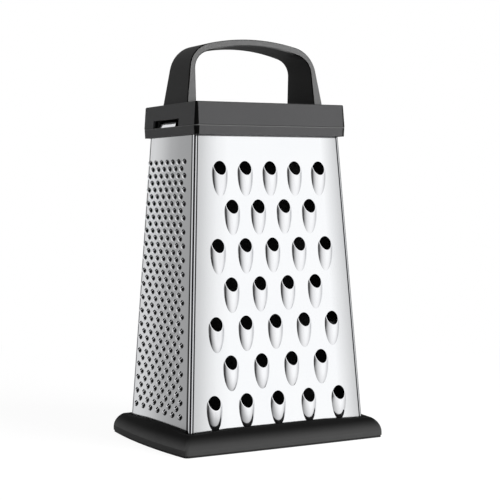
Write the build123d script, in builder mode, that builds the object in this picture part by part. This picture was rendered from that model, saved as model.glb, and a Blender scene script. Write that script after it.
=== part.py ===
from build123d import *
from math import asin, atan2, cos, degrees, radians, sin, sqrt
import os

os.makedirs("parts", exist_ok=True)

# All lengths are millimetres. The coarse front faces -Y and the fine side faces -X.

# The stack, from the table up.
sole_thickness = 1.2
ring_height = 11.0
steel_shown = 162.1
collar_height = 5.2
crown_height = 12.9
bow_rise = 37.6

# Outside of the steel body where it leaves the foot and where it enters the cap.
foot_end_width = 112.3
foot_end_depth = 78.5
cap_end_width = 93.6
cap_end_depth = 58.9

# Steel sheet, thinner where teeth are drawn out of it, and its folded corners in plan.
sheet = 0.5
drawn_wall = 0.25
fold_radius = 1.6
crease_half = 0.4
crease_depth = 0.25
fold_land = 0.4
fold_jog = 0.6
lap_gap = 0.1
flange_reach = 4.5
seam_gap = 0.8

# Room between the steel and the mouldings, and how far a cut runs past what it cuts.
fit_gap = 0.15
overrun = 5.0

# Levels and slopes that follow.
ring_top = sole_thickness + ring_height
cap_level = ring_top + steel_shown
joint_level = cap_level + collar_height
crown_top = joint_level + crown_height
side_slope = (foot_end_width - cap_end_width) / 2 / steel_shown
front_slope = (foot_end_depth - cap_end_depth) / 2 / steel_shown

# The steel runs from the bottom of the foot's slot to just under the cap's deck.
slot_floor = 2.0
deck_thickness = 2.0
rim_gap = 0.4
steel_low = sole_thickness + slot_floor + fit_gap
steel_high = crown_top - deck_thickness - rim_gap
blank_low = steel_low - overrun
blank_high = steel_high + overrun


def half_width(level):
    return foot_end_width / 2 - (level - ring_top) * side_slope


def half_depth(level):
    return foot_end_depth / 2 - (level - ring_top) * front_slope


def up_face(level, slope):
    """Distance from the table up to a level, measured along a leaning face."""
    return level * sqrt(1 + slope**2)


# Planes on the outside of the steel, each with X along the face and Y up it.
front_face = Plane((0, -half_depth(0), 0), x_dir=(1, 0, 0), z_dir=(0, -1, front_slope))
back_face = Plane((0, half_depth(0), 0), x_dir=(-1, 0, 0), z_dir=(0, 1, front_slope))
left_face = Plane((-half_width(0), 0, 0), x_dir=(0, -1, 0), z_dir=(-1, 0, side_slope))
right_face = Plane((half_width(0), 0, 0), x_dir=(0, 1, 0), z_dir=(1, 0, side_slope))


def on_face(face, places):
    return [face.location * Location((u, v, 0)) for u, v in places]


def trapezoid(low, high, slope, reach):
    """Corners of a leaning face between two levels, where reach gives its half-width at a level."""
    low_v, high_v = up_face(low, slope), up_face(high, slope)
    return [(-reach(low), low_v), (reach(low), low_v), (reach(high), high_v), (-reach(high), high_v)]


def row_levels(low, high, count):
    return [low + (high - low) * row / (count - 1) for row in range(count)]


def tooth_places(levels, pitch_low, pitch_high, across, slope):
    """Staggered rows that spread with the face, the lowest with the full count."""
    places = []
    for row, level in enumerate(levels):
        pitch = pitch_low + (pitch_high - pitch_low) * row / (len(levels) - 1)
        count = across - row % 2
        places += [((tooth - (count - 1) / 2) * pitch, up_face(level, slope)) for tooth in range(count)]
    return places


# Raised teeth. Each is a thin blister with its axis sunk under the face, as wide as two halves
# across the origin, and opened upwards by a wedge that leaves a lip at or below its crest.
lip_bite = 0.1


def sunk_axis(half, rise):
    """Radius of a blister across its widest line, and how deep its axis lies under the face."""
    radius = (half**2 + rise**2) / (2 * rise)
    return radius, radius - rise


def mouth_wedge(across, rise, tail, mouth_back, head, lip_below=0):
    """Wedge from the face, mouth_back above the widest line, to the lip, lip_below under it."""
    steep = (rise - lip_bite) / (mouth_back + lip_below)
    with BuildPart() as wedge:
        with BuildSketch(Plane.YZ):
            Polygon(
                (mouth_back, 0),
                (-tail, (tail + mouth_back) * steep),
                (-tail, tail + 2 * rise),
                (head + sheet, tail + 2 * rise),
                (head + sheet, 0),
                align=None,
            )
        extrude(amount=across + sheet, both=True)
    return wedge.part


def scoop(half, rise, tail, head):
    """Outer and inner solids of a blister that is an egg in plan, tail below and head above."""
    radius, drop = sunk_axis(half, rise)
    quarter = (1, sqrt(1 / 2), 1)
    bodies = []
    for skin, depth in ((0, sheet / 2), (drawn_wall, 2 * sheet)):
        reach = radius - skin
        stretch = 1 / sqrt(1 - (drop / reach) ** 2)
        long_low = (tail - skin) * stretch
        long_high = (head + sheet - skin) * stretch
        with BuildPart() as body:
            with BuildSketch(Plane.XY.offset(-drop)):
                with BuildLine():
                    lower = Bezier((0, -long_low), (reach, -long_low), (reach, 0), weights=quarter)
                    upper = Bezier((reach, 0), (reach, long_high), (0, long_high), weights=quarter)
                    Line(upper @ 1, lower @ 0)
                make_face()
            revolve(axis=Axis((0, 0, -drop), (0, 1, 0)))
            split(bisect_by=Plane.XY.offset(-depth), keep=Keep.TOP)
        bodies.append(body.part)
    return bodies


def pod(half, rise, tail):
    """Outer and inner solids of a blister that is a ball running out downwards in a cone."""
    radius, drop = sunk_axis(half, rise)
    bodies = []
    for skin, depth in ((0, sheet / 2), (drawn_wall, 2 * sheet)):
        ball, tip = radius - skin, tail - skin
        lean = asin(ball / sqrt(tip**2 + drop**2)) - atan2(drop, tip)
        with BuildPart() as body:
            with BuildSketch(Plane.XY.offset(-drop)):
                with BuildLine():
                    round_end = CenterArc((0, 0), ball, -degrees(lean), 90 + degrees(lean))
                    Polyline(round_end @ 1, (0, -ball / sin(lean)), round_end @ 0)
                make_face()
            revolve(axis=Axis((0, 0, -drop), (0, 1, 0)))
            split(bisect_by=Plane.XY.offset(-depth), keep=Keep.TOP)
        bodies.append(body.part)
    return bodies


def louvre(half, rise, length):
    """Outer and inner solids of a long level blister with ball ends, for a slicing slot."""
    radius, drop = sunk_axis(half, rise)
    bodies = []
    for skin, depth in ((0, sheet / 2), (sheet, 2 * sheet)):
        ball = radius - skin
        with BuildPart() as body:
            with BuildSketch(Plane.XY.offset(-drop)):
                SlotOverall(length + 2 * ball, 2 * ball)
                Rectangle(length + 3 * ball, 2 * ball, align=(Align.CENTER, Align.MAX), mode=Mode.SUBTRACT)
            revolve(axis=Axis((0, 0, -drop), (1, 0, 0)))
            split(bisect_by=Plane.XY.offset(-depth), keep=Keep.TOP)
        bodies.append(body.part)
    return bodies


def rasp_tooth(half, rise, mouth_back):
    """A small domed tooth standing on the face, round a hole that the panel brings."""
    radius, drop = sunk_axis(half, rise)
    with BuildPart() as tooth:
        with BuildSketch(Plane.XZ):
            with BuildLine():
                outer = CenterArc((0, -drop), radius, 0, 90)
                inner = CenterArc((0, -drop), radius - drawn_wall, 0, 90)
                Line(outer @ 0, inner @ 0)
                Line(outer @ 1, inner @ 1)
            make_face()
            Rectangle(4 * radius, 2 * radius, align=(Align.CENTER, Align.MAX), mode=Mode.SUBTRACT)
        revolve(axis=Axis.Z)
        add(mouth_wedge(half, rise, half, mouth_back, half), mode=Mode.SUBTRACT)
    return tooth.part


# Front-left corner: the front sheet is creased, bent round the corner, jogged inwards by its own
# thickness and run on as a flange, to which the side panel is spot-welded.
corner_x, corner_y = -half_width(blank_low), -half_depth(blank_low)
crease_start = fold_radius + 2 * crease_half
flange_x = corner_x + sheet + lap_gap
jog_end = fold_radius + fold_land + fold_jog

with BuildPart() as corner_fold:
    with BuildSketch(Plane.XY.offset(blank_low)):
        with BuildLine():
            front_run = Polyline(
                (corner_x + crease_start + 4 * crease_half, corner_y),
                (corner_x + crease_start, corner_y),
                (corner_x + fold_radius + crease_half, corner_y + crease_depth),
                (corner_x + fold_radius, corner_y),
            )
            bend = RadiusArc(front_run @ 1, (corner_x, corner_y + fold_radius), fold_radius)
            Polyline(
                bend @ 1,
                (corner_x, corner_y + fold_radius + fold_land),
                (flange_x, corner_y + jog_end),
                (flange_x, corner_y + jog_end + flange_reach),
            )
            offset(amount=sheet, side=Side.RIGHT, kind=Kind.INTERSECTION)
        make_face()
    corner_run = Vector(side_slope, front_slope, 1)
    extrude(amount=(blank_high - blank_low) * corner_run.length, dir=corner_run)


def front_reach(level):
    """Half-width of the flat of a front or back panel, which ends inside the corner folds."""
    return half_width(level) - crease_start - 2 * crease_half


def side_reach(level):
    """Half-width of a side panel, which stops short of the corner folds."""
    return half_depth(level) - fold_radius - fold_land - seam_gap


# Lanced tabs at the lower edge of the front and back panels, which snap into the foot.
tab_width = 9.0
tab_height = 3.4
tab_lean = 1.2
tab_slit = 0.4
tab_spread = 52.0
tab_level = steel_low + 2 * tab_slit
tab_places = [(side * tab_spread / 2, up_face(tab_level, front_slope)) for side in (-1, 1)]

with BuildPart() as lock_tab:
    with BuildSketch(Plane.YZ):
        Polygon(
            (-tab_slit, 0),
            (0, 0),
            (tab_height, -tab_lean),
            (tab_height, -tab_lean - sheet),
            (0, -sheet),
            (-tab_slit, -sheet),
            align=None,
        )
    extrude(amount=tab_width / 2, both=True)

# Window in each end of the cap, the steel's notch behind it, and the tongue bent over its sill.
window_width = 33.5
window_height = 4.4
window_shift = 3.7
tongue_width = 21.0
tongue_shift = 6.4
tongue_upright = 0.5
tongue_rise = 3.0
tongue_lean = 0.9
tongue_corner = 1.2
notch_margin = 1.2
sill_drop = 0.3
notch_level = joint_level - sill_drop
notch_v = up_face(notch_level, side_slope)
notch_front = window_width / 2 - window_shift + notch_margin

with BuildPart() as tongue:
    tongue_top = tongue_upright + tongue_rise
    with BuildSketch(Plane.YZ):
        Polygon(
            (-sheet, 0),
            (tongue_upright, 0),
            (tongue_top, -tongue_lean),
            (tongue_top - sheet / 2, -tongue_lean - sheet),
            (tongue_upright - sheet / 4, -sheet),
            (-sheet, -sheet),
            align=None,
        )
    extrude(amount=tongue_width / 2, both=True)
    with BuildSketch(Plane.XY.offset(-tongue_lean - 2 * sheet)):
        with Locations((0, tongue_top)):
            outline = Rectangle(tongue_width, 2 * tongue_top, align=(Align.CENTER, Align.MAX))
        fillet(outline.vertices().group_by(Axis.Y)[-1], tongue_corner)
    extrude(amount=tongue_lean + 3 * sheet, mode=Mode.INTERSECT)


def folded_blank(face):
    """A toothless front or back panel with lock tabs, and folded edges that end at the windows."""
    with BuildPart() as panel:
        with BuildSketch(face):
            Polygon(*trapezoid(blank_low, blank_high, front_slope, front_reach), align=None)
            with Locations(*tab_places):
                Rectangle(
                    tab_width + 2 * tab_slit,
                    tab_height + tab_slit,
                    align=(Align.CENTER, Align.MIN),
                    mode=Mode.SUBTRACT,
                )
        extrude(amount=-sheet)
        with Locations(*on_face(face, tab_places)):
            add(lock_tab.part)
        fold = corner_fold.part
        if face.z_dir.Y > 0:
            fold = mirror(fold, about=Plane.XZ, mode=Mode.PRIVATE)
        add(fold)
        mirror(fold, about=Plane.YZ)
        with BuildSketch(Plane.XY.offset(notch_level)):
            Rectangle(foot_end_width, 2 * (half_depth(steel_high) - jog_end))
        extrude(amount=blank_high - notch_level, mode=Mode.SUBTRACT)
        split(bisect_by=Plane.XY.offset(steel_low), keep=Keep.TOP)
        split(bisect_by=Plane.XY.offset(steel_high), keep=Keep.BOTTOM)
    return panel.part


def side_blank(face, holes=(), hole_radius=0):
    """A flat side panel, cut away behind the cap's window up to its rear edge, with the tongue."""
    with BuildPart() as panel:
        with BuildSketch(face):
            Polygon(*trapezoid(blank_low, blank_high, side_slope, side_reach), align=None)
            with Locations((notch_front, notch_v)):
                Rectangle(
                    notch_front + half_depth(notch_level),
                    blank_high - notch_level + overrun,
                    align=(Align.MAX, Align.MIN),
                    mode=Mode.SUBTRACT,
                )
            if holes:
                with Locations(*holes):
                    Circle(hole_radius, mode=Mode.SUBTRACT)
        extrude(amount=-sheet)
        with Locations(*on_face(face, [(-tongue_shift, notch_v)])):
            add(tongue.part)
        split(bisect_by=Plane.XY.offset(steel_low), keep=Keep.TOP)
        split(bisect_by=Plane.XY.offset(steel_high), keep=Keep.BOTTOM)
    return panel.part


# Coarse panel: seven rows of five and four large teeth.
coarse_half = 4.95
coarse_rise = 2.5
coarse_tail = 13.0
coarse_head = 6.6
coarse_mouth = 4.0
coarse_lip = 1.5
coarse_low = 23.8
coarse_high = 153.0
coarse_pitch_low = 20.2
coarse_pitch_high = 16.0
coarse_rows = 7
coarse_across = 5

coarse_places = tooth_places(
    row_levels(coarse_low, coarse_high, coarse_rows),
    coarse_pitch_low,
    coarse_pitch_high,
    coarse_across,
    front_slope,
)
coarse_outer, coarse_inner = scoop(coarse_half, coarse_rise, coarse_tail, coarse_head)

coarse_wedge = mouth_wedge(
    coarse_half, coarse_rise, coarse_tail, coarse_mouth, coarse_head, coarse_lip
)

with BuildPart() as coarse_panel:
    add(folded_blank(front_face))
    with Locations(*on_face(front_face, coarse_places)):
        add(coarse_outer)
    with Locations(*on_face(front_face, coarse_places)):
        add(coarse_inner, mode=Mode.SUBTRACT)
    with Locations(*on_face(front_face, coarse_places)):
        add(coarse_wedge, mode=Mode.SUBTRACT)

# Medium panel: the back, with ten rows of six and five smaller teeth.
medium_half = 3.2
medium_rise = 1.8
medium_tail = 8.5
medium_mouth = 2.6
medium_low = 22.0
medium_high = 158.0
medium_pitch_low = 16.6
medium_pitch_high = 13.6
medium_rows = 10
medium_across = 6

medium_places = tooth_places(
    row_levels(medium_low, medium_high, medium_rows),
    medium_pitch_low,
    medium_pitch_high,
    medium_across,
    front_slope,
)
medium_outer, medium_inner = pod(medium_half, medium_rise, medium_tail)

medium_wedge = mouth_wedge(medium_half, medium_rise, medium_tail, medium_mouth, medium_half)

with BuildPart() as medium_panel:
    add(folded_blank(back_face))
    with Locations(*on_face(back_face, medium_places)):
        add(medium_outer)
    with Locations(*on_face(back_face, medium_places)):
        add(medium_inner, mode=Mode.SUBTRACT)
    with Locations(*on_face(back_face, medium_places)):
        add(medium_wedge, mode=Mode.SUBTRACT)

# Fine panel: thirty-seven rows of seven and six rasp teeth, wider margin towards the front.
fine_half = 1.95
fine_rise = 1.25
fine_mouth = 1.4
fine_low = 18.6
fine_high = 159.6
fine_rows = 37
fine_across = 7
fine_front_margin = 12.2
fine_back_margin_low = 6.6
fine_back_margin_high = 3.4

fine_radius, fine_drop = sunk_axis(fine_half, fine_rise)
fine_hole = sqrt((fine_radius - drawn_wall) ** 2 - fine_drop**2)
fine_places = []
for row, level in enumerate(row_levels(fine_low, fine_high, fine_rows)):
    upward = row / (fine_rows - 1)
    back_margin = fine_back_margin_low + (fine_back_margin_high - fine_back_margin_low) * upward
    first = -half_depth(level) + back_margin
    last = half_depth(level) - fine_front_margin
    step = (last - first) / (fine_across - 1)
    stagger = row % 2
    for tooth in range(fine_across - stagger):
        fine_places.append((first + (tooth + stagger / 2) * step, up_face(level, side_slope)))

with BuildPart() as fine_panel:
    add(side_blank(left_face, fine_places, fine_hole))
    with Locations(*on_face(left_face, fine_places)):
        add(rasp_tooth(fine_half, fine_rise, fine_mouth))

# Slicer panel: the right side, with three slicing slots.
slicer_half = 6.5
slicer_rise = 2.6
slicer_mouth = 4.2
slicer_length = 36.0
slicer_low = 40.0
slicer_high = 134.0
slicer_count = 3

slicer_places = [
    (0, up_face(level, side_slope)) for level in row_levels(slicer_low, slicer_high, slicer_count)
]
slicer_outer, slicer_inner = louvre(slicer_half, slicer_rise, slicer_length)

slicer_wedge = mouth_wedge(
    slicer_length / 2 + slicer_half, slicer_rise, slicer_half, slicer_mouth, slicer_half
)

with BuildPart() as slicer_panel:
    add(side_blank(right_face))
    with Locations(*on_face(right_face, slicer_places)):
        add(slicer_outer)
    with Locations(*on_face(right_face, slicer_places)):
        add(slicer_inner, mode=Mode.SUBTRACT)
    with Locations(*on_face(right_face, slicer_places)):
        add(slicer_wedge, mode=Mode.SUBTRACT)

# Foot: a moulded ring with bowed sides, crisp corners, a rolled outer rim and a slot for the steel.
ring_side_overhang = 7.5
ring_front_overhang = 10.3
ring_side_bow = 3.2
ring_front_bow = 0.5
ring_corner = 2.5
roll_radius = 9.4
slot_wall = 1.6
inner_wall = 1.8
corner_relief = 9.0
dip_radius = 26.0
dip_depth = 1.3
skin = 2.4
pocket_depth = 3.6
pocket_rib = 1.8
pockets_wide = 6
pockets_deep = 4

ring_corner_x = foot_end_width / 2 + ring_side_overhang
ring_corner_y = foot_end_depth / 2 + ring_front_overhang
ring_half_width = ring_corner_x + ring_side_bow
ring_half_depth = ring_corner_y + ring_front_bow
open_half_width = half_width(ring_top) - sheet - fit_gap - inner_wall
open_half_depth = half_depth(ring_top) - sheet - fit_gap - inner_wall


def bow_radius(half, bow):
    """Radius of an arc that rises by bow over a chord of two halves."""
    return (half**2 + bow**2) / (2 * bow)


def bowed_outline(inset):
    """Rectangle whose four sides bow outwards, with slightly rounded corners."""
    corner_at_x, corner_at_y = ring_corner_x - inset, ring_corner_y - inset
    middle_x, middle_y = ring_half_width - inset, ring_half_depth - inset
    with BuildSketch(mode=Mode.PRIVATE) as outline:
        with BuildLine():
            ThreePointArc((-corner_at_x, -corner_at_y), (0, -middle_y), (corner_at_x, -corner_at_y))
            ThreePointArc((corner_at_x, -corner_at_y), (middle_x, 0), (corner_at_x, corner_at_y))
            ThreePointArc((corner_at_x, corner_at_y), (0, middle_y), (-corner_at_x, corner_at_y))
            ThreePointArc((-corner_at_x, corner_at_y), (-middle_x, 0), (-corner_at_x, -corner_at_y))
        make_face()
        fillet(outline.vertices(), ring_corner)
    return outline.sketch


def rolled_disc(radius, x, y):
    """Disc as high as the ring with a rolled upper rim, about an upright axis at x and y."""
    with BuildPart() as disc:
        with BuildSketch(Plane.XZ.offset(-y)):
            with Locations((x, sole_thickness)):
                section = Rectangle(radius, ring_height, align=(Align.MIN, Align.MIN))
            fillet(section.vertices().group_by(Axis.X)[-1].sort_by(Axis.Y)[-1], roll_radius)
        revolve(axis=Axis((x, y, 0), (0, 0, 1)))
    return disc.part


def pocket_spots(shrink):
    """Centre and size of each pocket under the ring, made smaller all round by shrink."""
    outer_x = ring_corner_x - skin
    outer_y = ring_corner_y - skin
    inner_x = half_width(sole_thickness) + fit_gap + slot_wall
    inner_y = half_depth(sole_thickness) + fit_gap + slot_wall
    step_x = 2 * inner_x / pockets_wide
    step_y = 2 * inner_y / pockets_deep
    spots = []
    for side in (-1, 1):
        for i in range(pockets_wide):
            x = (i - (pockets_wide - 1) / 2) * step_x
            spots.append((x, side * (outer_y + inner_y) / 2, step_x - pocket_rib, outer_y - inner_y))
        for i in range(pockets_deep):
            y = (i - (pockets_deep - 1) / 2) * step_y
            spots.append((side * (outer_x + inner_x) / 2, y, outer_x - inner_x, step_y - pocket_rib))
    return [(x, y, width - 2 * shrink, depth - 2 * shrink) for x, y, width, depth in spots]


# The lowest coarse teeth run out into the foot, so its rim is relieved for them.
tail_relief, _ = scoop(
    coarse_half + fit_gap, coarse_rise + fit_gap, coarse_tail + 4 * fit_gap, coarse_head
)

side_bow_radius = bow_radius(ring_corner_y, ring_side_bow)
front_bow_radius = bow_radius(ring_corner_x, ring_front_bow)

with BuildPart() as base_ring:
    add(rolled_disc(side_bow_radius, ring_half_width - side_bow_radius, 0))
    add(rolled_disc(side_bow_radius, side_bow_radius - ring_half_width, 0), mode=Mode.INTERSECT)
    add(rolled_disc(front_bow_radius, 0, ring_half_depth - front_bow_radius), mode=Mode.INTERSECT)
    add(rolled_disc(front_bow_radius, 0, front_bow_radius - ring_half_depth), mode=Mode.INTERSECT)
    ridges = [
        edge
        for edge in base_ring.edges()
        if edge.center().Z > sole_thickness
        and abs(edge.center().X) > half_width(0)
        and abs(edge.center().Y) > half_depth(0)
    ]
    fillet(ridges, ring_corner)
    with BuildSketch(Plane.XY.offset(sole_thickness)):
        Rectangle(2 * open_half_width, 2 * open_half_depth)
    extrude(amount=ring_height, mode=Mode.SUBTRACT)
    slot_low = sole_thickness + slot_floor
    slot_high = ring_top + overrun
    for face, slope, reach in (
        (front_face, front_slope, half_width),
        (back_face, front_slope, half_width),
        (left_face, side_slope, half_depth),
        (right_face, side_slope, half_depth),
    ):
        with BuildSketch(face.offset(fit_gap)):
            Polygon(*trapezoid(slot_low, slot_high, slope, reach), align=None)
        extrude(amount=-sheet - 2 * fit_gap, mode=Mode.SUBTRACT)
    with Locations(*on_face(front_face, coarse_places[:coarse_across])):
        add(tail_relief, mode=Mode.SUBTRACT)
    with BuildSketch(Plane.XY.offset(slot_low)):
        with GridLocations(
            2 * half_width(slot_low) - corner_relief, 2 * half_depth(slot_low) - corner_relief, 2, 2
        ):
            Rectangle(corner_relief, corner_relief)
    extrude(amount=ring_height, mode=Mode.SUBTRACT)
    with Locations(Plane.XY.offset(ring_top - dip_depth)):
        with GridLocations(2 * half_width(ring_top), 2 * half_depth(ring_top), 2, 2):
            Cone(
                0,
                2 * dip_radius,
                2 * dip_depth,
                align=(Align.CENTER, Align.CENTER, Align.MIN),
                mode=Mode.SUBTRACT,
            )
    for face in (front_face, back_face):
        with BuildSketch(face.offset(-sheet)):
            with Locations(*tab_places):
                Rectangle(
                    tab_width + 2 * tab_slit,
                    tab_height + 2 * fit_gap,
                    align=(Align.CENTER, Align.MIN),
                )
        extrude(amount=-inner_wall - overrun, mode=Mode.SUBTRACT)
    with BuildSketch(Plane.XY.offset(sole_thickness)):
        for x, y, width, depth in pocket_spots(0):
            with Locations((x, y)):
                Rectangle(width, depth)
    extrude(amount=pocket_depth, mode=Mode.SUBTRACT)

# Sole: a soft flat ring whose lugs plug into the pockets.
sole_inset = 0.4
lug_height = 2.0

with BuildPart() as non_slip_sole:
    with BuildSketch():
        add(bowed_outline(sole_inset))
        Rectangle(2 * open_half_width, 2 * open_half_depth, mode=Mode.SUBTRACT)
    extrude(amount=sole_thickness)
    with BuildSketch(Plane.XY.offset(sole_thickness)):
        for x, y, width, depth in pocket_spots(fit_gap):
            with Locations((x, y)):
                Rectangle(width, depth)
    extrude(amount=lug_height)

# Cap: the collar slides down the tapering steel, the crown closes it and carries the bow.
cap_side_overhang = 1.55
cap_front_overhang = 4.8
joint_swell = 0.3
crown_draft = 0.9
cap_corner = 2.2
collar_side_wall = 1.15
collar_front_wall = 1.8
collar_flange = 1.6
joint_chamfer = 0.25
crown_edge = 0.7
crown_side_wall = 1.3
crown_front_wall = 1.9
skirt_wall = 1.5
skirt_drop = 3.2
rib_width = 1.6
rib_spacing = 21.0
rib_count = 5
post_width = 8.0
post_thickness = 1.2
post_spread = 63.0
post_rise = 6.2
barb_height = 1.8
barb_bite = 0.6

cap_low_x = half_width(cap_level) + cap_side_overhang
cap_low_y = half_depth(cap_level) + cap_front_overhang
joint_x = cap_low_x + joint_swell
joint_y = cap_low_y + joint_swell
deck_level = crown_top - deck_thickness
crown_taper = degrees(atan2(crown_draft, crown_height))


def steel_block(low, high, grow):
    """Solid filling the steel body between two levels, grown outwards by a distance."""
    with BuildPart() as block:
        for plane, reach in ((Plane.XZ, half_width), (Plane.YZ, half_depth)):
            with BuildSketch(plane):
                Polygon(
                    (-reach(low) - grow, low),
                    (reach(low) + grow, low),
                    (reach(high) + grow, high),
                    (-reach(high) - grow, high),
                    align=None,
                )
            extrude(amount=foot_end_width, both=True, mode=Mode.INTERSECT if block.part else Mode.ADD)
    return block.part


def snap_face(side):
    """Plane on the outside of the crown's front (side -1) or back (side 1) wall, from the joint up."""
    return Plane(
        (0, side * joint_y, joint_level),
        x_dir=(-side, 0, 0),
        z_dir=(0, side, crown_draft / crown_height),
    )


with BuildPart() as cap_collar:
    with BuildSketch(Plane.XY.offset(cap_level)):
        RectangleRounded(2 * cap_low_x, 2 * cap_low_y, cap_corner)
    extrude(amount=collar_height, taper=-degrees(atan2(joint_swell, collar_height)))
    chamfer(cap_collar.edges().group_by(Axis.Z)[-1], joint_chamfer)
    with BuildSketch(Plane.XY.offset(cap_level + collar_flange)):
        RectangleRounded(
            2 * (cap_low_x - collar_side_wall),
            2 * (cap_low_y - collar_front_wall),
            cap_corner - collar_side_wall,
        )
    extrude(amount=collar_height, mode=Mode.SUBTRACT)
    for side in (-1, 1):
        wall_face = snap_face(side).offset(-crown_front_wall - fit_gap)
        with BuildSketch(wall_face):
            with Locations((-post_spread / 2, post_rise), (post_spread / 2, post_rise)):
                Rectangle(
                    post_width,
                    post_rise + collar_height - collar_flange / 2,
                    align=(Align.CENTER, Align.MAX),
                )
        extrude(amount=-post_thickness)
        with BuildSketch(wall_face):
            with Locations((-post_spread / 2, post_rise), (post_spread / 2, post_rise)):
                Rectangle(post_width, barb_height, align=(Align.CENTER, Align.MAX))
        extrude(amount=barb_bite)
    add(steel_block(cap_level - overrun, joint_level + overrun, fit_gap), mode=Mode.SUBTRACT)

# Bow: an arch of varying width, from the apex down through a shoulder to a leaning leg.
bow_outer_span = 44.4
bow_outer_lean = 8.7
bow_outer_top = 123.5
bow_outer_shoulder = 16.3
bow_inner_span = 38.6
bow_inner_lean = 2.3
bow_inner_top = 105.0
bow_inner_shoulder = 10.7
bow_thickness = 3.7
bow_foot_half = 16.0
bow_apex_half = 11.2
bow_edge = 0.5
bow_sink = deck_thickness / 2


def bow_curve(span, rise, lean, top_radius, shoulder):
    """Half of one arch line from its apex to the deck, added to the active line builder."""
    lean = radians(lean)
    turn = (cos(lean) * span - shoulder + sin(lean) * (top_radius - rise)) / (top_radius - shoulder)
    sweep = degrees(asin(turn) - lean)
    crest = JernArc((0, rise), (1, 0), top_radius, -sweep)
    bend = JernArc(crest @ 1, crest % 1, shoulder, sweep + degrees(lean) - 90)
    return Polyline(bend @ 1, (span, 0), (span, -bow_sink))


with BuildPart() as bow:
    with BuildSketch(Plane.XZ):
        with BuildLine():
            outer_leg = bow_curve(
                bow_outer_span, bow_rise, bow_outer_lean, bow_outer_top, bow_outer_shoulder
            )
            inner_leg = bow_curve(
                bow_inner_span,
                bow_rise - bow_thickness,
                bow_inner_lean,
                bow_inner_top,
                bow_inner_shoulder,
            )
            Line(outer_leg @ 1, inner_leg @ 1)
            mirror(about=Plane.YZ)
        make_face()
    extrude(amount=2 * bow_foot_half, both=True)
    with BuildSketch(Plane.YZ):
        Polygon(
            (-bow_foot_half, -bow_sink),
            (bow_foot_half, -bow_sink),
            (bow_apex_half, bow_rise + bow_edge),
            (-bow_apex_half, bow_rise + bow_edge),
            align=None,
        )
    extrude(amount=2 * bow_outer_span, both=True, mode=Mode.INTERSECT)
    rims = [edge for edge in bow.edges() if abs(edge.center().Y) > bow_edge and edge.center().Z > 0]
    chamfer(rims, bow_edge)

with BuildPart() as handle_crown:
    with BuildSketch(Plane.XY.offset(joint_level)):
        RectangleRounded(2 * joint_x, 2 * joint_y, cap_corner)
    extrude(amount=crown_height, taper=crown_taper)
    fillet(handle_crown.edges().group_by(Axis.Z)[-1], crown_edge)
    chamfer(handle_crown.edges().group_by(Axis.Z)[0], joint_chamfer)
    with BuildSketch(Plane.XY.offset(joint_level)):
        RectangleRounded(
            2 * (joint_x - crown_side_wall),
            2 * (joint_y - crown_front_wall),
            cap_corner - crown_side_wall,
        )
    extrude(amount=deck_level - joint_level, taper=crown_taper, mode=Mode.SUBTRACT)
    with BuildSketch(Plane.XY.offset(deck_level)):
        with GridLocations(rib_spacing, 0, rib_count, 1):
            Rectangle(rib_width, 2 * (joint_y - crown_front_wall))
    extrude(amount=joint_chamfer + joint_level - deck_level)
    add(
        steel_block(joint_level - overrun, deck_level, fit_gap),
        mode=Mode.SUBTRACT,
    )
    with BuildPart(mode=Mode.PRIVATE) as skirt:
        skirt_gap = 2 * sheet + lap_gap + fit_gap
        add(steel_block(joint_level - skirt_drop, deck_level, -skirt_gap))
        add(steel_block(joint_level - overrun, deck_level, -skirt_gap - skirt_wall), mode=Mode.SUBTRACT)
    add(skirt.part)
    for side in (-1, 1):
        with BuildSketch(Plane.XY.offset(notch_level)):
            with Locations((side * (joint_x - skirt_gap), -side * window_shift)):
                Rectangle(2 * (skirt_gap + skirt_wall + crown_side_wall), window_width)
        extrude(amount=joint_level + window_height - notch_level, mode=Mode.SUBTRACT)
        with BuildSketch(snap_face(side).offset(-crown_front_wall)):
            with Locations((-post_spread / 2, post_rise), (post_spread / 2, post_rise)):
                Rectangle(
                    post_width + 2 * fit_gap,
                    barb_height + 4 * fit_gap,
                    align=(Align.CENTER, Align.MAX),
                )
        extrude(amount=barb_bite, mode=Mode.SUBTRACT)
    with Locations((0, 0, crown_top)):
        add(bow.part)

for name, piece in (
    ("coarse_panel", coarse_panel),
    ("medium_panel", medium_panel),
    ("fine_panel", fine_panel),
    ("slicer_panel", slicer_panel),
    ("base_ring", base_ring),
    ("non_slip_sole", non_slip_sole),
    ("cap_collar", cap_collar),
    ("handle_crown", handle_crown),
):
    piece.part.label = name
    export_step(piece.part, f"parts/{name}.step")
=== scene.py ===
import math

import bpy
from mathutils import Matrix

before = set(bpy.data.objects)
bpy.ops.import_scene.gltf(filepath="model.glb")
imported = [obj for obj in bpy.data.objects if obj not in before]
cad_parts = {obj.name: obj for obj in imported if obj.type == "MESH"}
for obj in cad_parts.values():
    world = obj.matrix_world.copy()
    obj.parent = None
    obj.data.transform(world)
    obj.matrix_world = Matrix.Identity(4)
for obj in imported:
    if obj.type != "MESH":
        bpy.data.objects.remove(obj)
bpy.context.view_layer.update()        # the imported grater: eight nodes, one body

print("frame loaded:", ", ".join(sorted(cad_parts)))


def newMaterial(name):
    # an empty node tree with a Principled shader wired to the output
    material = bpy.data.materials.new(name)
    material.use_nodes = True
    nodes = material.node_tree.nodes
    nodes.clear()
    output = nodes.new("ShaderNodeOutputMaterial")
    shader = nodes.new("ShaderNodeBsdfPrincipled")
    output.location = (400, 0)
    shader.location = (120, 0)
    material.node_tree.links.new(shader.outputs["BSDF"], output.inputs["Surface"])
    return material, shader


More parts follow.
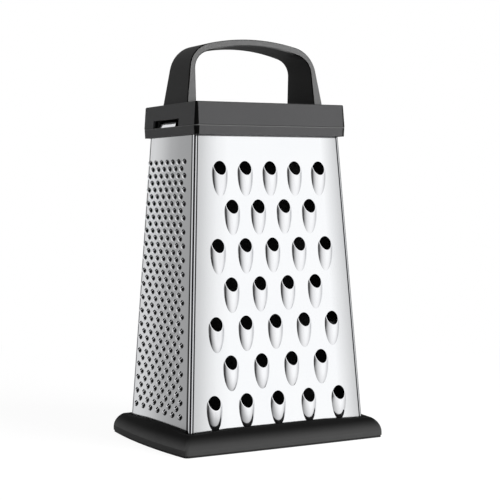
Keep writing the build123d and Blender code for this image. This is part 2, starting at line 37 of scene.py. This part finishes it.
def newGroup(name, inputs, outputs):
    # inputs are (name, socket type, start value), outputs are (name, socket type)
    group = bpy.data.node_groups.new(name, "ShaderNodeTree")
    for socketName, kind, value in inputs:
        socket = group.interface.new_socket(name=socketName, in_out="INPUT", socket_type=kind)
        if value is not None:
            socket.default_value = value
    for socketName, kind in outputs:
        group.interface.new_socket(name=socketName, in_out="OUTPUT", socket_type=kind)
    entry = group.nodes.new("NodeGroupInput")
    leave = group.nodes.new("NodeGroupOutput")
    return group, entry, leave


def feed(tree, socket, value):
    # a socket is wired, a plain value is set
    if isinstance(value, (int, float, tuple)):
        socket.default_value = value
    else:
        tree.links.new(value, socket)


def giveOut(group, leave, results):
    for name, result in results.items():
        group.links.new(result, leave.inputs[name])


def mathNode(tree, operation, first, second=None, third=None):
    node = tree.nodes.new("ShaderNodeMath")
    node.operation = operation
    for index, value in enumerate((first, second, third)):
        if value is not None:
            feed(tree, node.inputs[index], value)
    return node.outputs[0]


def vectorNode(tree, operation, first, second=None):
    node = tree.nodes.new("ShaderNodeVectorMath")
    node.operation = operation
    feed(tree, node.inputs[0], first)
    if second is not None:
        feed(tree, node.inputs[1], second)
    return node.outputs["Value" if operation in ("DOT_PRODUCT", "LENGTH") else "Vector"]


def splitNode(tree, vector):
    node = tree.nodes.new("ShaderNodeSeparateXYZ")
    tree.links.new(vector, node.inputs[0])
    return node.outputs["X"], node.outputs["Y"], node.outputs["Z"]


def noiseNode(tree, vector, scale, detail, roughness=0.5):
    node = tree.nodes.new("ShaderNodeTexNoise")
    node.inputs["Detail"].default_value = detail
    node.inputs["Roughness"].default_value = roughness
    feed(tree, node.inputs["Scale"], scale)
    tree.links.new(vector, node.inputs["Vector"])
    return node.outputs["Fac"]


def mixColour(tree, factor, first, second, blend="MIX"):
    node = tree.nodes.new("ShaderNodeMix")
    node.data_type = "RGBA"
    node.blend_type = blend
    for index, value in ((0, factor), (6, first), (7, second)):
        feed(tree, node.inputs[index], value)
    return node.outputs[2]


def rampNode(tree, factor, stops):
    # stops are (position, grey) pairs
    node = tree.nodes.new("ShaderNodeValToRGB")
    elements = node.color_ramp.elements
    while len(elements) < len(stops):
        elements.new(0.5)
    for element, (position, grey) in zip(elements, stops):
        element.position = position
        element.color = (grey, grey, grey, 1.0)
    feed(tree, node.inputs["Fac"], factor)
    return node.outputs["Color"]


def smoothNode(tree, value, low, high):
    node = tree.nodes.new("ShaderNodeMapRange")
    node.interpolation_type = "SMOOTHSTEP"
    for name, source in (("Value", value), ("From Min", low), ("From Max", high)):
        feed(tree, node.inputs[name], source)
    return node.outputs["Result"]


def plainShader(tree, kind, colour, strength=None):
    # an emission, a background or a diffuse shader, the last without a strength
    node = tree.nodes.new(kind)
    feed(tree, node.inputs["Color"], colour)
    if strength is not None:
        node.inputs["Strength"].default_value = strength
    return node.outputs[0]


def blendShaders(tree, factor, first, second):
    node = tree.nodes.new("ShaderNodeMixShader")
    for index, source in enumerate((factor, first, second)):
        tree.links.new(source, node.inputs[index])
    return node.outputs[0]


def placeGroup(tree, group, values):
    # wires object coordinates, and object normals where the group asks for them
    node = tree.nodes.new("ShaderNodeGroup")
    node.node_tree = group
    place = tree.nodes.new("ShaderNodeTexCoord")
    tree.links.new(place.outputs["Object"], node.inputs["Vector"])
    if "Normal" in node.inputs:
        tree.links.new(place.outputs["Normal"], node.inputs["Normal"])
    for name, value in values.items():
        node.inputs[name].default_value = value
    return node


def addGrain(tree, shader, height, distance):
    bump = tree.nodes.new("ShaderNodeBump")
    bump.inputs["Distance"].default_value = distance
    bump.inputs["Strength"].default_value = 1.0
    tree.links.new(height, bump.inputs["Height"])
    tree.links.new(bump.outputs["Normal"], shader.inputs["Normal"])


# rolled sheet: a fine streak along the sheet's length and slow cloudy patches, 0 to 1
def buildSheetGrain():
    group, entry, leave = newGroup(
        "sheetGrain",
        [
            ("Vector", "NodeSocketVector", None),
            ("Stretch", "NodeSocketVector", (1.0, 1.0, 1.0)),
            ("Grain Scale", "NodeSocketFloat", 1.0),
            ("Cloud Scale", "NodeSocketFloat", 1.0),
        ],
        [("Grain", "NodeSocketFloat"), ("Cloud", "NodeSocketFloat")],
    )
    vector = entry.outputs["Vector"]
    stretched = vectorNode(group, "MULTIPLY", vector, entry.outputs["Stretch"])
    grain = noiseNode(group, stretched, entry.outputs["Grain Scale"], detail=3.0, roughness=0.6)
    cloud = noiseNode(group, vector, entry.outputs["Cloud Scale"], detail=2.0)
    giveOut(group, leave, {"Grain": grain, "Cloud": cloud})
    return group


# how squarely a point faces out of its panel, how steep a bend is, and where the folds begin
panelMarks = {
    "flatStart": 0.96,
    "flatFull": 0.995,
    "insideStart": 0.05,
    "insideFull": -0.05,
    "bendMiddle": 0.62,
    "bendSpread": 0.26,
    "foldStart": 0.475,        # from the panel's middle, as a share of its width
}


# where a point lies on its panel: flat sheet or raised, inside or out, and how far across
def buildPanelPlace():
    group, entry, leave = newGroup(
        "panelPlace",
        [
            ("Vector", "NodeSocketVector", None),
            ("Normal", "NodeSocketVector", None),
            ("Outward", "NodeSocketVector", (0.0, -1.0, 0.0)),
            ("Across", "NodeSocketVector", (1.0, 0.0, 0.0)),
            ("Shaded Side", "NodeSocketVector", (1.0, 0.0, 0.0)),
            ("Half Width", "NodeSocketFloat", 1.0),
            ("Narrowing", "NodeSocketFloat", 0.0),
        ],
        [
            ("Flat", "NodeSocketFloat"),
            ("Turned", "NodeSocketFloat"),
            ("Slant", "NodeSocketFloat"),
            ("Fold", "NodeSocketFloat"),
            ("Inside", "NodeSocketFloat"),
            ("Share", "NodeSocketFloat"),
        ],
    )
    vector, normal, across = (entry.outputs[name] for name in ("Vector", "Normal", "Across"))
    facing = vectorNode(group, "DOT_PRODUCT", normal, entry.outputs["Outward"])
    turned = vectorNode(group, "DOT_PRODUCT", normal, entry.outputs["Shaded Side"])
    slant = mathNode(group, "ABSOLUTE", vectorNode(group, "DOT_PRODUCT", normal, across))
    bend = mathNode(group, "COMPARE", slant, panelMarks["bendMiddle"], panelMarks["bendSpread"])

    height = splitNode(group, vector)[2]
    lost = mathNode(group, "MULTIPLY", height, entry.outputs["Narrowing"])
    half = mathNode(group, "SUBTRACT", entry.outputs["Half Width"], lost)
    along = vectorNode(group, "DOT_PRODUCT", vector, across)
    share = mathNode(group, "MULTIPLY_ADD", mathNode(group, "DIVIDE", along, half), 0.5, 0.5)
    fromMiddle = mathNode(group, "ABSOLUTE", mathNode(group, "SUBTRACT", share, 0.5))
    atEdge = mathNode(group, "GREATER_THAN", fromMiddle, panelMarks["foldStart"])

    giveOut(group, leave, {
        "Flat": smoothNode(group, facing, panelMarks["flatStart"], panelMarks["flatFull"]),
        "Turned": turned,
        "Slant": slant,
        "Fold": mathNode(group, "MULTIPLY", bend, atEdge),
        "Inside": smoothNode(group, facing, panelMarks["insideStart"], panelMarks["insideFull"]),
        "Share": share,
    })
    return group


# moulded plastic: a fine eroded grain and slow handling marks, 0 to 1
def buildMouldGrain():
    group, entry, leave = newGroup(
        "mouldGrain",
        [
            ("Vector", "NodeSocketVector", None),
            ("Grain Scale", "NodeSocketFloat", 1.0),
            ("Smudge Scale", "NodeSocketFloat", 1.0),
        ],
        [("Grain", "NodeSocketFloat"), ("Smudge", "NodeSocketFloat")],
    )
    vector = entry.outputs["Vector"]
    grain = noiseNode(group, vector, entry.outputs["Grain Scale"], detail=2.0, roughness=0.7)
    smudge = noiseNode(group, vector, entry.outputs["Smudge Scale"], detail=3.0)
    giveOut(group, leave, {"Grain": grain, "Smudge": smudge})
    return group


# where painted shade darkens a moulding: the narrow edges that bound its front and back, 1 on an upright
# edge and less on a level one
def buildPaintedCornerBand():
    group, entry, leave = newGroup(
        "cornerBand",
        [
            ("Vector", "NodeSocketVector", None),
            ("Normal", "NodeSocketVector", None),
            ("Start", "NodeSocketFloat", 0.1),
            ("Full", "NodeSocketFloat", 0.2),
            ("Level Share", "NodeSocketFloat", 0.25),
        ],
        [("Band", "NodeSocketFloat")],
    )
    sideways, outwards, upwards = splitNode(group, entry.outputs["Normal"])
    upright = mathNode(group, "ABSOLUTE", mathNode(group, "MULTIPLY", sideways, outwards))
    level = mathNode(group, "ABSOLUTE", mathNode(group, "MULTIPLY", upwards, outwards))
    milder = mathNode(group, "MULTIPLY", level, entry.outputs["Level Share"])
    size = mathNode(group, "MAXIMUM", upright, milder)
    giveOut(group, leave, {"Band": smoothNode(group, size, entry.outputs["Start"], entry.outputs["Full"])})
    return group


gripMarks = {
    "faceStart": 0.4,
    "faceFull": 0.9,
}


# the part above a height, and on it the front and back, which take a painted light and shade unlike the
# sides
def buildPaintedGripShading():
    group, entry, leave = newGroup(
        "paintedGripShading",
        [
            ("Vector", "NodeSocketVector", None),
            ("Normal", "NodeSocketVector", None),
            ("Height", "NodeSocketFloat", 0.2),
        ],
        [("Grip", "NodeSocketFloat"), ("Face", "NodeSocketFloat")],
    )
    height = splitNode(group, entry.outputs["Vector"])[2]
    above = mathNode(group, "GREATER_THAN", height, entry.outputs["Height"])
    facing = mathNode(group, "ABSOLUTE", splitNode(group, entry.outputs["Normal"])[1])
    face = smoothNode(group, facing, gripMarks["faceStart"], gripMarks["faceFull"])
    giveOut(group, leave, {"Grip": above, "Face": face})
    return group


# painted shade and highlight on a moulding that changes tone upwards: 0 below the low height, 1 above the
# high one
def buildRollShade():
    group, entry, leave = newGroup(
        "rollShade",
        [
            ("Vector", "NodeSocketVector", None),
            ("Low", "NodeSocketFloat", 0.0),
            ("High", "NodeSocketFloat", 1.0),
        ],
        [("Shade", "NodeSocketFloat")],
    )
    height = splitNode(group, entry.outputs["Vector"])[2]
    shade = smoothNode(group, height, entry.outputs["Low"], entry.outputs["High"])
    giveOut(group, leave, {"Shade": shade})
    return group


studio = {
    "middle": (0.0, 0.0, 0.12),        # the lamps and the floor's glow are aimed from here
    "keyDirection": (0.47, -0.88, 0.08),
    "glow": (
        (0.0, 0.80),
        (0.14, 0.78),
        (0.22, 0.46),
        (0.40, 0.42),
        (0.44, 0.05),
        (0.53, 0.04),
        (0.61, 0.45),
        (0.75, 0.85),
        (0.86, 0.99),
        (1.0, 1.0),
    ),
    "overhead": 0.04,
    "horizon": 0.22,
    "floorRadius": 3.0,
    "floorCorners": 96,
    "floorPaint": 0.8,
    "floorLit": 0.16,
    "floorGlow": 0.92,
    "fadeStart": 0.2,
    "fadeEnd": 0.5,
    # painted shadow in the floor's glow under the foot
    "hollowDark": 0.045,        # gloss inside the foot's ring sees no lit floor
    "hollowEdge": 0.065,
    "white": (1.0, 1.0, 1.0, 1.0),
    "black": (0.0, 0.0, 0.0, 1.0),
}


# what gloss sees of the studio in a direction: a broad bright side, a dark gap, a paler back
def buildStudioGlow():
    group, entry, leave = newGroup(
        "studioGlow",
        [("Direction", "NodeSocketVector", None), ("Key", "NodeSocketVector", studio["keyDirection"])],
        [("Color", "NodeSocketColor")],
    )
    facing = vectorNode(group, "DOT_PRODUCT", entry.outputs["Direction"], entry.outputs["Key"])
    place = mathNode(group, "MULTIPLY_ADD", facing, 0.5, 0.5)
    giveOut(group, leave, {"Color": rampNode(group, place, studio["glow"])})
    return group


sheetGrain = buildSheetGrain()
panelPlace = buildPanelPlace()
mouldGrain = buildMouldGrain()
cornerBand = buildPaintedCornerBand()
paintedGripShading = buildPaintedGripShading()
rollShade = buildRollShade()
studioGlow = buildStudioGlow()
print("node groups built")


steelLook = {
    "flat": (0.98, 0.99, 1.0, 1.0),
    "raised": (0.95, 0.955, 0.97, 1.0),
    "cloud": (0.95, 0.955, 0.97, 1.0),
    # the inner faces: a duller steel, darkened further as painted shade in the hollow
    "inside": (0.16, 0.16, 0.165, 1.0),
    # painted shade along the bend of each folded edge
    "fold": (0.04, 0.04, 0.045, 1.0),
    "roughness": 0.09,
    "roughnessSpread": 0.05,
    "grainBump": 0.000002,
    "grainScale": 900.0,
    "cloudScale": 35.0,
}
# half-widths at the table, the narrowing per metre of height, the painted sheen across the flat sheet and
# the painted shade on raised flanks
frontPanel = {
    "outward": (0.0, -1.0, 0.07),
    "across": (1.0, 0.0, 0.0),
    "halfWidth": 0.0569,
    "narrowing": 0.0577,
    # painted reflection: the flat steel greyer towards both side edges, white in the middle
    "sheen": ((0.0, 0.56), (0.05, 0.66), (0.10, 0.80), (0.15, 0.92), (0.22, 1.0), (0.86, 1.0), (1.0, 0.55)),
    # painted shade on the teeth's flanks, by their slant to either side
    "paintedFlankShade": ((0.0, 1.0), (0.25, 0.96), (0.60, 0.76), (0.85, 0.60), (0.95, 0.95), (1.0, 0.95)),
    "stretch": (1.0, 1.0, 0.04),
}
leftPanel = {
    "outward": (-1.0, 0.0, 0.06),
    "across": (0.0, -1.0, 0.0),
    "halfWidth": 0.0400,
    "narrowing": 0.0605,
    # painted reflection across the side sheet, pale at one edge and darker towards the other, with a
    # painted black seam shadow along that darker edge
    "sheen": (
        (0.0, 0.83),
        (0.15, 0.81),
        (0.30, 0.69),
        (0.50, 0.49),
        (0.70, 0.41),
        (0.942, 0.38),
        (0.947, 0.005),
    ),
    "shadedSide": (0.0, -0.97, 0.25),
    # painted shade on the teeth's flanks that turn towards the shaded side
    "paintedFlankShade": ((0.0, 1.0), (0.24, 1.0), (0.50, 0.03), (1.0, 0.02)),
    "stretch": (1.0, 0.8, 0.3),
}
backPanel = dict(frontPanel, outward=(0.0, 1.0, 0.07), across=(-1.0, 0.0, 0.0))
rightPanel = dict(
    leftPanel,
    outward=(1.0, 0.0, 0.06),
    across=(0.0, 1.0, 0.0),
    shadedSide=(0.0, 0.97, 0.25),
)


def makeSteel(name, panel, look):
    material, shader = newMaterial(name)
    tree = material.node_tree
    grain = placeGroup(
        tree,
        sheetGrain,
        {"Stretch": panel["stretch"], "Grain Scale": look["grainScale"], "Cloud Scale": look["cloudScale"]},
    )
    place = placeGroup(
        tree,
        panelPlace,
        {
            "Outward": panel["outward"],
            "Across": panel["across"],
            "Half Width": panel["halfWidth"],
            "Narrowing": panel["narrowing"],
        },
    )
    flankBy = "Slant"        # both flanks of a tooth alike, unless the panel names a shaded side
    if "shadedSide" in panel:
        flankBy = "Turned"
        place.inputs["Shaded Side"].default_value = panel["shadedSide"]
    # the flat sheet's colour carries the painted sheen across the panel
    sheen = rampNode(tree, place.outputs["Share"], panel["sheen"])
    flat = mixColour(tree, 1.0, look["flat"], sheen, "MULTIPLY")
    # painted shade on the raised flanks, set by how far each turns aside
    paintedFlankShade = rampNode(tree, place.outputs[flankBy], panel["paintedFlankShade"])
    raised = mixColour(tree, 1.0, look["raised"], paintedFlankShade, "MULTIPLY")
    # the fold band takes the painted shade
    folded = mixColour(tree, place.outputs["Fold"], raised, look["fold"])
    outside = mixColour(tree, place.outputs["Flat"], folded, flat)
    patchy = mixColour(tree, 1.0, outside, look["cloud"], "MULTIPLY")
    clouded = mixColour(tree, grain.outputs["Cloud"], patchy, outside)
    # inner faces take the duller steel with painted shade
    colour = mixColour(tree, place.outputs["Inside"], clouded, look["inside"])
    grey = grain.outputs["Grain"]
    rough = mathNode(tree, "MULTIPLY_ADD", grey, look["roughnessSpread"], look["roughness"])
    tree.links.new(colour, shader.inputs["Base Color"])
    tree.links.new(rough, shader.inputs["Roughness"])
    addGrain(tree, shader, grey, look["grainBump"])
    shader.inputs["Metallic"].default_value = 1.0
    return material


def makePlastic(name, look):
    material, shader = newMaterial(name)
    tree = material.node_tree
    grain = placeGroup(
        tree, mouldGrain, {"Grain Scale": look["grainScale"], "Smudge Scale": look["smudgeScale"]}
    )
    smudge = grain.outputs["Smudge"]
    smudged = mixColour(tree, smudge, look["shade"], look["light"])
    # painted light and shade: the front and back above a height set apart from the sides
    gripShading = placeGroup(tree, paintedGripShading, {"Height": look["paintedShadingHeight"]})
    faceShaded = mixColour(tree, gripShading.outputs["Face"], look["paintedSideShading"], look["paintedFaceShading"])
    gripShaded = mixColour(tree, gripShading.outputs["Grip"], smudged, faceShaded)
    corner = placeGroup(tree, cornerBand, {"Start": look["bandStart"], "Full": look["bandFull"]})
    # painted shade: the upright and level edges darkened near black
    colour = mixColour(tree, corner.outputs["Band"], gripShaded, look["corner"])
    # painted tone above a height: shade on the foot's upper roll, a highlight on the collar's edge
    if "rollTop" in look:
        roll = placeGroup(tree, rollShade, {"Low": look["rollLow"], "High": look["rollHigh"]})
        colour = mixColour(tree, roll.outputs["Shade"], colour, look["rollTop"])
    rough = mathNode(tree, "MULTIPLY_ADD", smudge, look["roughnessSpread"], look["roughness"])
    tree.links.new(colour, shader.inputs["Base Color"])
    tree.links.new(rough, shader.inputs["Roughness"])
    addGrain(tree, shader, grain.outputs["Grain"], look["grainBump"])
    shader.inputs["Specular IOR Level"].default_value = look["specular"]
    return material


capLook = {
    "light": (0.054, 0.054, 0.055, 1.0),
    "shade": (0.049, 0.049, 0.050, 1.0),
    # painted shade on the moulding's narrow edges
    "corner": (0.002, 0.002, 0.002, 1.0),
    # painted light on the handle's front and back above the skirt, painted shade on its sides
    "paintedFaceShading": (0.095, 0.095, 0.095, 1.0),
    "paintedSideShading": (0.026, 0.026, 0.026, 1.0),
    "paintedShadingHeight": 0.1927,
    "bandStart": 0.09,
    "bandFull": 0.16,
    "roughness": 0.45,
    "roughnessSpread": 0.10,
    "specular": 0.03,
    "grainBump": 0.00003,
    "grainScale": 1400.0,
    "smudgeScale": 30.0,
}
# the collar's upper edge catches the light beside the parting line
collarLook = dict(capLook, rollTop=(0.10, 0.10, 0.10, 1.0), rollLow=0.1789, rollHigh=0.1792)
footLook = {
    "light": (0.044, 0.044, 0.044, 1.0),
    "shade": (0.039, 0.039, 0.039, 1.0),
    # painted shade on the foot's narrow edges
    "corner": (0.003, 0.003, 0.003, 1.0),
    # painted shade on the foot's front and back, painted light on its sides
    "paintedFaceShading": (0.038, 0.038, 0.038, 1.0),
    "paintedSideShading": (0.070, 0.070, 0.070, 1.0),
    "paintedShadingHeight": 0.004,
    # painted shade on the foot's upper roll beside the steel
    "rollTop": (0.006, 0.006, 0.006, 1.0),
    "rollLow": 0.0045,
    "rollHigh": 0.0105,
    "bandStart": 0.6,
    "bandFull": 0.9,
    "roughness": 0.60,
    "roughnessSpread": 0.10,
    "specular": 0.03,
    "grainBump": 0.00003,
    "grainScale": 1400.0,
    "smudgeScale": 25.0,
}
soleLook = {
    "light": (0.020, 0.020, 0.020, 1.0),
    "shade": (0.015, 0.015, 0.015, 1.0),
    # painted shade on the sole's narrow edges
    "corner": (0.012, 0.012, 0.012, 1.0),
    # a faint painted light on the sole's front and back
    "paintedFaceShading": (0.022, 0.022, 0.022, 1.0),
    "paintedSideShading": (0.018, 0.018, 0.018, 1.0),
    "paintedShadingHeight": 0.002,
    "bandStart": 0.14,
    "bandFull": 0.26,
    "roughness": 0.75,
    "roughnessSpread": 0.1,
    "specular": 0.2,
    "grainBump": 0.00006,
    "grainScale": 900.0,
    "smudgeScale": 40.0,
}

finishes = {
    "coarse_panel": makeSteel("frontSteel", frontPanel, steelLook),
    "medium_panel": makeSteel("backSteel", backPanel, steelLook),
    "fine_panel": makeSteel("fineSideSteel", leftPanel, steelLook),
    "slicer_panel": makeSteel("slicerSideSteel", rightPanel, steelLook),
    "handle_crown": makePlastic("crownPlastic", capLook),
    "cap_collar": makePlastic("collarPlastic", collarLook),
    "base_ring": makePlastic("footPlastic", footLook),
    "non_slip_sole": makePlastic("soleRubber", soleLook),
}
for nodeName, material in finishes.items():
    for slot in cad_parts[nodeName].material_slots:
        slot.material = material
print("materials set")


def placeGlow(tree, direction):
    node = tree.nodes.new("ShaderNodeGroup")
    node.node_tree = studioGlow
    tree.links.new(direction, node.inputs["Direction"])
    return node.outputs["Color"]


def buildFloor():
    # white to the camera with a faint shadow, the studio's glow to gloss, plain paint to the rest
    bpy.ops.object.select_all(action="DESELECT")
    bpy.ops.mesh.primitive_circle_add(
        vertices=studio["floorCorners"], radius=studio["floorRadius"], fill_type="NGON"
    )
    floor = bpy.context.object
    floor.name = "studioFloor"
    material = bpy.data.materials.new("studioFloorPaint")
    material.use_nodes = True
    tree = material.node_tree
    tree.nodes.clear()
    output = tree.nodes.new("ShaderNodeOutputMaterial")
    place = tree.nodes.new("ShaderNodeTexCoord").outputs["Object"]
    length = vectorNode(tree, "LENGTH", place)

    lit = tree.nodes.new("ShaderNodeAddShader")
    litGrey = (studio["floorLit"],) * 3 + (1.0,)
    tree.links.new(plainShader(tree, "ShaderNodeBsdfDiffuse", litGrey), lit.inputs[0])
    glowing = plainShader(tree, "ShaderNodeEmission", studio["white"], studio["floorGlow"])
    tree.links.new(glowing, lit.inputs[1])
    fade = smoothNode(tree, length, studio["fadeStart"], studio["fadeEnd"])
    farWhite = plainShader(tree, "ShaderNodeEmission", studio["white"], 1.0)
    seen = blendShaders(tree, fade, lit.outputs[0], farWhite)

    outwards = vectorNode(tree, "SUBTRACT", place, studio["middle"])
    glow = placeGlow(tree, vectorNode(tree, "NORMALIZE", outwards))
    # painted shadow: the floor's glow to gloss goes black inside the foot's ring
    opening = smoothNode(tree, length, studio["hollowDark"], studio["hollowEdge"])
    dimmed = mixColour(tree, opening, studio["black"], glow)
    shining = plainShader(tree, "ShaderNodeEmission", dimmed, 1.0)
    paintGrey = (studio["floorPaint"],) * 3 + (1.0,)
    painted = plainShader(tree, "ShaderNodeBsdfDiffuse", paintGrey)

    path = tree.nodes.new("ShaderNodeLightPath")
    toGloss = blendShaders(tree, path.outputs["Is Glossy Ray"], painted, shining)
    toCamera = blendShaders(tree, path.outputs["Is Camera Ray"], toGloss, seen)
    tree.links.new(toCamera, output.inputs["Surface"])
    floor.data.materials.append(material)


def buildWorld():
    # white to the camera, the studio's glow to gloss, and light mostly from the sides to the rest
    world = bpy.data.worlds.new("studioWorld")
    bpy.context.scene.world = world
    world.use_nodes = True
    tree = world.node_tree
    tree.nodes.clear()
    output = tree.nodes.new("ShaderNodeOutputWorld")
    direction = tree.nodes.new("ShaderNodeTexCoord").outputs["Generated"]
    height = splitNode(tree, direction)[2]
    soft = rampNode(tree, height, ((0.0, studio["horizon"]), (1.0, studio["overhead"])))
    lighting = plainShader(tree, "ShaderNodeBackground", soft, 1.0)
    shining = plainShader(tree, "ShaderNodeBackground", placeGlow(tree, direction), 1.0)
    seen = plainShader(tree, "ShaderNodeBackground", studio["white"], 1.0)
    path = tree.nodes.new("ShaderNodeLightPath")
    toGloss = blendShaders(tree, path.outputs["Is Glossy Ray"], lighting, shining)
    toCamera = blendShaders(tree, path.outputs["Is Camera Ray"], toGloss, seen)
    tree.links.new(toCamera, output.inputs["Surface"])


# a dark sheet standing in for the shade inside the hollow
hollowShadeCard = {
    "width": 0.0985,
    "height": 0.165,
    "foot": 0.006,
    "turn": 61.0,
    "light": (0.012, 0.012, 0.012, 1.0),
    "shade": (0.006, 0.006, 0.006, 1.0),
    "roughness": 0.9,
    "grainScale": 900.0,
    "smudgeScale": 60.0,
}


def standHollowShadeCard():
    # black paper stood in the hollow as painted shade, so the teeth's mouths read dark
    bpy.ops.object.select_all(action="DESELECT")
    bpy.ops.mesh.primitive_grid_add(x_subdivisions=8, y_subdivisions=4, size=1.0)
    card = bpy.context.object
    card.name = "hollowShadeCard"
    card.dimensions = (hollowShadeCard["height"], hollowShadeCard["width"], 0.0)
    card.rotation_euler = (0.0, math.radians(90.0), math.radians(hollowShadeCard["turn"]))
    card.location = (0.0, 0.0, hollowShadeCard["foot"] + hollowShadeCard["height"] / 2.0)
    bpy.ops.object.transform_apply(location=True, rotation=True, scale=True)
    material, shader = newMaterial("hollowShadePaper")
    tree = material.node_tree
    grain = placeGroup(
        tree, mouldGrain, {"Grain Scale": hollowShadeCard["grainScale"], "Smudge Scale": hollowShadeCard["smudgeScale"]}
    )
    colour = mixColour(tree, grain.outputs["Smudge"], hollowShadeCard["shade"], hollowShadeCard["light"])
    tree.links.new(colour, shader.inputs["Base Color"])
    shader.inputs["Roughness"].default_value = hollowShadeCard["roughness"]
    card.data.materials.append(material)


# place, width and power of each lamp
softboxes = {
    "keySoftbox": ((0.7, -1.2, 0.34), 0.9, 42.0),
    "fillSoftbox": ((-1.2, 0.1, 0.25), 0.8, 7.0),
    "topSoftbox": ((0.1, -0.2, 1.4), 0.9, 2.0),
}


def addSoftbox(name, place, width, power):
    bpy.ops.object.select_all(action="DESELECT")
    bpy.ops.object.light_add(type="AREA", location=place)
    lamp = bpy.context.object
    lamp.name = name
    lamp.data.shape = "SQUARE"
    lamp.data.size = width
    lamp.data.energy = power
    lamp.visible_glossy = False        # gloss sees the world's softer glow instead
    x, y, z = (at - towards for at, towards in zip(place, studio["middle"]))
    lamp.rotation_euler = (math.atan2(math.hypot(x, y), z), 0.0, math.atan2(x, -y))


buildFloor()
buildWorld()
standHollowShadeCard()
for softboxName, settings in softboxes.items():
    addSoftbox(softboxName, *settings)
print("studio built")

shot = {
    "place": (-0.3763, -0.6899, 0.1417),
    "yaw": 28.845,
    "pitch": 2.417,
    "roll": -0.368,
    "lens": 96.58,
    "sensor": 36.0,
    "nearest": 0.01,
}
turn = (
    Matrix.Rotation(math.radians(-shot["yaw"]), 3, "Z")
    @ Matrix.Rotation(math.radians(90.0 - shot["pitch"]), 3, "X")
    @ Matrix.Rotation(math.radians(shot["roll"]), 3, "Z")
)
bpy.ops.object.select_all(action="DESELECT")
bpy.ops.object.camera_add(location=shot["place"], rotation=turn.to_euler())
camera = bpy.context.object
camera.data.lens = shot["lens"]
camera.data.sensor_width = shot["sensor"]
camera.data.clip_start = shot["nearest"]
bpy.context.scene.camera = camera
bpy.context.scene.view_settings.view_transform = "Standard"
print("camera set")
